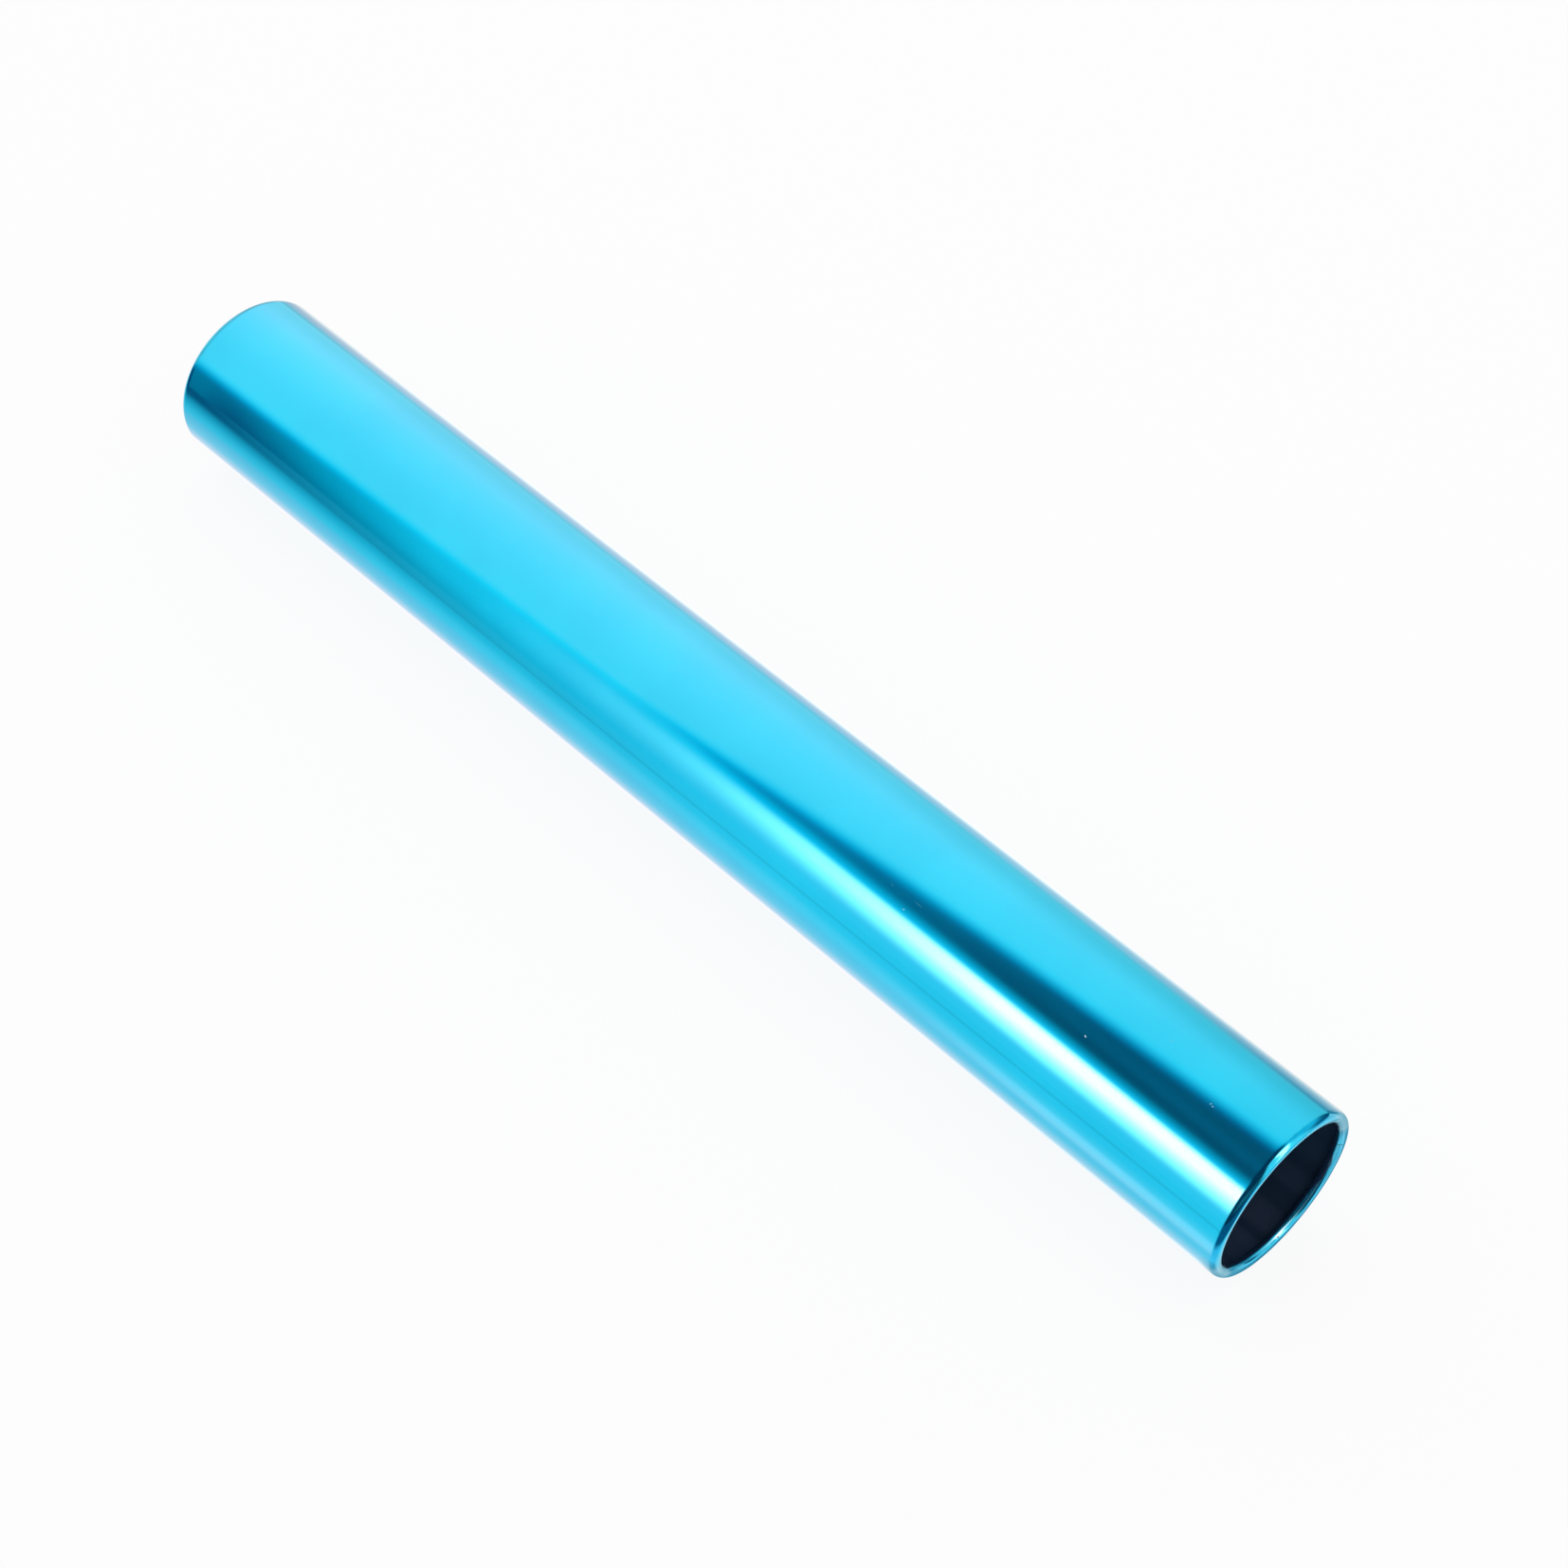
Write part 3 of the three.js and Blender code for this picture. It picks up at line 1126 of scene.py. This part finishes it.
def table_in_front(tree, y, u):
    """The table on the camera's side, seen along the baton's lower edge; its own edge is a thin line."""
    shown = IN_FRONT
    for start, full, colour in FRONT_BANDS:
        shown = mix_levels(tree, fade(tree, y, start, full), shown, colour)
    shaded = product(tree, far_corner(tree, u), fade(tree, y, *FRONT_SHADE_ACROSS))
    shaded = product(tree, shaded, slope(tree, u, *FRONT_SHADE_ALONG))
    # Painted shade on the table in front.
    shown = mix_levels(tree, shaded, shown, DEEP_SHADE)
    table_edge = band(tree, y, TABLE_EDGE_START, TABLE_EDGE_END)
    shown = scale_level(tree, shown, between(tree, table_edge, *TABLE_EDGE_LIGHTS))
    far_red, near_red = fade(tree, u, *FRONT_FAR_REDS), fade(tree, u, *FRONT_NEAR_REDS)
    red = mix_numbers(tree, fade(tree, y, *FRONT_REDS_MEET), far_red, near_red)
    tinted = {0: shown, 1: level(tree, red, 1.0, 1.0)}
    shown = put(tree, "ShaderNodeVectorMath", tinted, operation="MULTIPLY").outputs[0]
    glint = product(tree, band(tree, y, GLINT_START, GLINT_END), fade(tree, u, *GLINT_ALONG))
    glinting = level(tree, glint, product(tree, glint, GLINT_GREEN), product(tree, glint, GLINT_BLUE))
    return add_levels(tree, shown, glinting)


# The table past the mouth, near and far ahead, and on the camera's side of the tube's axis.
AHEAD_NEAR = (0.72, 0.98, 1.05)
AHEAD_FAR = (0.25, 0.66, 0.80)
AHEAD_FAR_START = (0.050, 0.085)
AHEAD_ASIDE = (0.30, 0.80, 1.0)
AHEAD_ASIDE_START = (-0.010, -0.018)
# The shade under the lip: how far ahead it reaches, by the place aside, and its blur.
LIP_SHADE = (0.08, 0.34, 0.46)
LIP_SHADE_REACH = (0.020, 0.041, 0.0022, 0.013)
LIP_SHADE_BLUR = (0.006, 0.000)
# The dark where the camera stands, round a place across the tube: by bearing in degrees, and by distance.
AHEAD_DARK = (0.0, 0.10, 0.21)
DARK_CENTRE = -0.01
DARK_NEAR_BEARING = (2.0, -9.0)
DARK_FAR_BEARING = (-106.0, -88.0)
DARK_REACH = (0.026, 0.044)


def table_ahead(tree, ahead, aside):
    """The table past the mouth: shaded under the lip, and dark where the camera stands."""
    reach = length_of(tree, ahead, aside)
    bearing = bearing_of(tree, aside, ahead)
    shown = mix_levels(tree, fade(tree, ahead, *AHEAD_FAR_START), AHEAD_NEAR, AHEAD_FAR)
    past_shade = less(tree, ahead, slope(tree, aside, *LIP_SHADE_REACH))
    shown = mix_levels(tree, fade(tree, past_shade, *LIP_SHADE_BLUR), shown, LIP_SHADE)
    shown = mix_levels(tree, fade(tree, aside, *AHEAD_ASIDE_START), shown, AHEAD_ASIDE)
    dark = band(tree, bearing, DARK_NEAR_BEARING, DARK_FAR_BEARING)
    dark = product(tree, dark, fade(tree, reach, *DARK_REACH))
    return mix_levels(tree, dark, shown, AHEAD_DARK), dark


# Where the table's two sides meet across the tube, and where the table past the mouth takes over along it.
TABLE_SIDES_MEET = (-0.004, 0.004)
TABLE_ENDS_MEET = (-0.009, -0.001)


def table_light(tree, position):
    """What the table top sends to the metal."""
    x, y, _ = axes_of(tree, position)
    away = less(tree, maths(tree, "ABSOLUTE", y), TUBE_SIDE)
    slid = plus(tree, x, product(tree, away, TABLE_SLIDE))
    u = maths(tree, "DIVIDE", slid, plus(tree, product(tree, away, TABLE_SPREAD), 1.0))
    behind = table_behind(tree, x, y, u)
    beside = mix_levels(tree, fade(tree, y, *TABLE_SIDES_MEET), table_in_front(tree, y, u), behind)
    ahead = less(tree, x, HALF_LENGTH)
    past_mouth, dark = table_ahead(tree, ahead, less(tree, y, DARK_CENTRE))
    past = maths(tree, "MAXIMUM", fade(tree, ahead, *TABLE_ENDS_MEET), dark)
    return mix_levels(tree, past, beside, past_mouth)


def glow(name, light_of):
    """A card's light. light_of(tree, position) gives its colour and strength over the card."""
    material, tree = start_material(name)
    light = light_of(tree, object_place(tree))
    end_material(tree, "ShaderNodeEmission", {"Color": light, "Strength": 1.0})
    return material


def light_card(card, light_of):
    card.data.materials.append(glow(card.name + "_glow", light_of))
    card.visible_camera = False
    card.visible_diffuse = False
    card.visible_transmission = False
    card.visible_volume_scatter = False
    card.visible_shadow = False


def tunnel_panel(name, x_low, x_high, light_of):
    """One length of the half-round paper tunnel over the baton."""
    panel = add_open_cylinder(name, TUNNEL_FACETS, TUNNEL_RADIUS, x_low, x_high)
    bpy.ops.object.mode_set(mode="EDIT")
    bpy.ops.mesh.select_all(action="SELECT")
    bpy.ops.mesh.bisect(plane_co=(0.0, 0.0, TUNNEL_FOOT), plane_no=(0.0, 0.0, 1.0), clear_inner=True)
    bpy.ops.object.mode_set(mode="OBJECT")
    light_card(panel, light_of)


def build_floor():
    """The pale floor that the baton lies on."""
    floor = add_sheet("floor", FLOOR_SIZE, (0.0, 0.0, 0.0))
    floor.data.materials.append(pale_floor())


def build_tunnel():
    """Both lengths of the tunnel, and the card that closes it past the mouth."""
    tunnel_panel("tunnel_over_tube", TUNNEL_START, TUNNEL_JOIN, tunnel_light)
    tunnel_panel("tunnel_past_mouth", TUNNEL_JOIN, TUNNEL_END, mouth_light)
    middle = (TUNNEL_END, 0.0, TUNNEL_RADIUS)
    end = add_sheet("tunnel_end", 2 * TUNNEL_RADIUS, middle)
    bpy.ops.transform.rotate(value=math.pi / 2, orient_axis="Y", center_override=middle)
    bpy.ops.object.transform_apply(location=True, rotation=True, scale=True)
    light_card(end, mouth_light)


def build_table_sheen():
    """A card that lies on the floor, as wide as the tunnel, and shows the metal a lit table."""
    table = add_sheet("table_sheen", 1.0, (0.0, 0.0, 0.0))
    bpy.ops.transform.resize(value=(SHEEN_LENGTH, 2 * TUNNEL_RADIUS, 1.0))
    bpy.ops.transform.translate(value=(SHEEN_MIDDLE, 0.0, SHEEN_LIFT))
    bpy.ops.object.transform_apply(location=True, rotation=True, scale=True)
    light_card(table, table_light)


def build_world():
    """Plain white to the eye and in reflections, and a little dimmer as light."""
    world = bpy.data.worlds.new("studio_air")
    bpy.context.scene.world = world
    world.use_nodes = True
    tree = world.node_tree
    tree.nodes.clear()
    output = tree.nodes.new("ShaderNodeOutputWorld")
    plain = put(tree, "ShaderNodeBackground", {"Color": PLAIN_WHITE, "Strength": WORLD_LIGHT})
    white = put(tree, "ShaderNodeBackground", {"Color": PLAIN_WHITE, "Strength": 1.0})
    seen = background_seen(tree)
    mixed = put(tree, "ShaderNodeMixShader", {0: seen, 1: plain.outputs[0], 2: white.outputs[0]})
    tree.links.new(mixed.outputs[0], output.inputs["Surface"])


def build_lamp():
    """A soft box high over the far end, aimed at the baton, that no reflection shows."""
    light = bpy.data.lights.new("overhead_softbox", "AREA")
    light.shape = "RECTANGLE"
    light.size, light.size_y = LAMP_SIZE
    light.energy = LAMP_POWER
    lamp = bpy.data.objects.new("overhead_softbox", light)
    bpy.context.scene.collection.objects.link(lamp)
    lamp.location = LAMP_PLACE
    lamp.rotation_euler = (-LAMP_PLACE).to_track_quat("-Z", "Y").to_euler()
    lamp.visible_glossy = False


def build_camera():
    """The photograph's camera."""
    data = bpy.data.cameras.new("camera")
    data.lens = CAMERA_LENS
    data.sensor_width = CAMERA_SENSOR
    data.clip_start = CAMERA_CLIP
    camera = bpy.data.objects.new("camera", data)
    bpy.context.scene.collection.objects.link(camera)
    camera.location = CAMERA_PLACE
    camera.rotation_euler = CAMERA_LOOKS.to_track_quat("-Z", "Y").to_euler()
    bpy.context.scene.camera = camera


bpy.context.scene.view_settings.view_transform = "Standard"
build_camera()
baton = make_tube()
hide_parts("tube")
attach(baton, "root")
build_floor()
build_tunnel()
build_table_sheen()
build_world()
build_lamp()
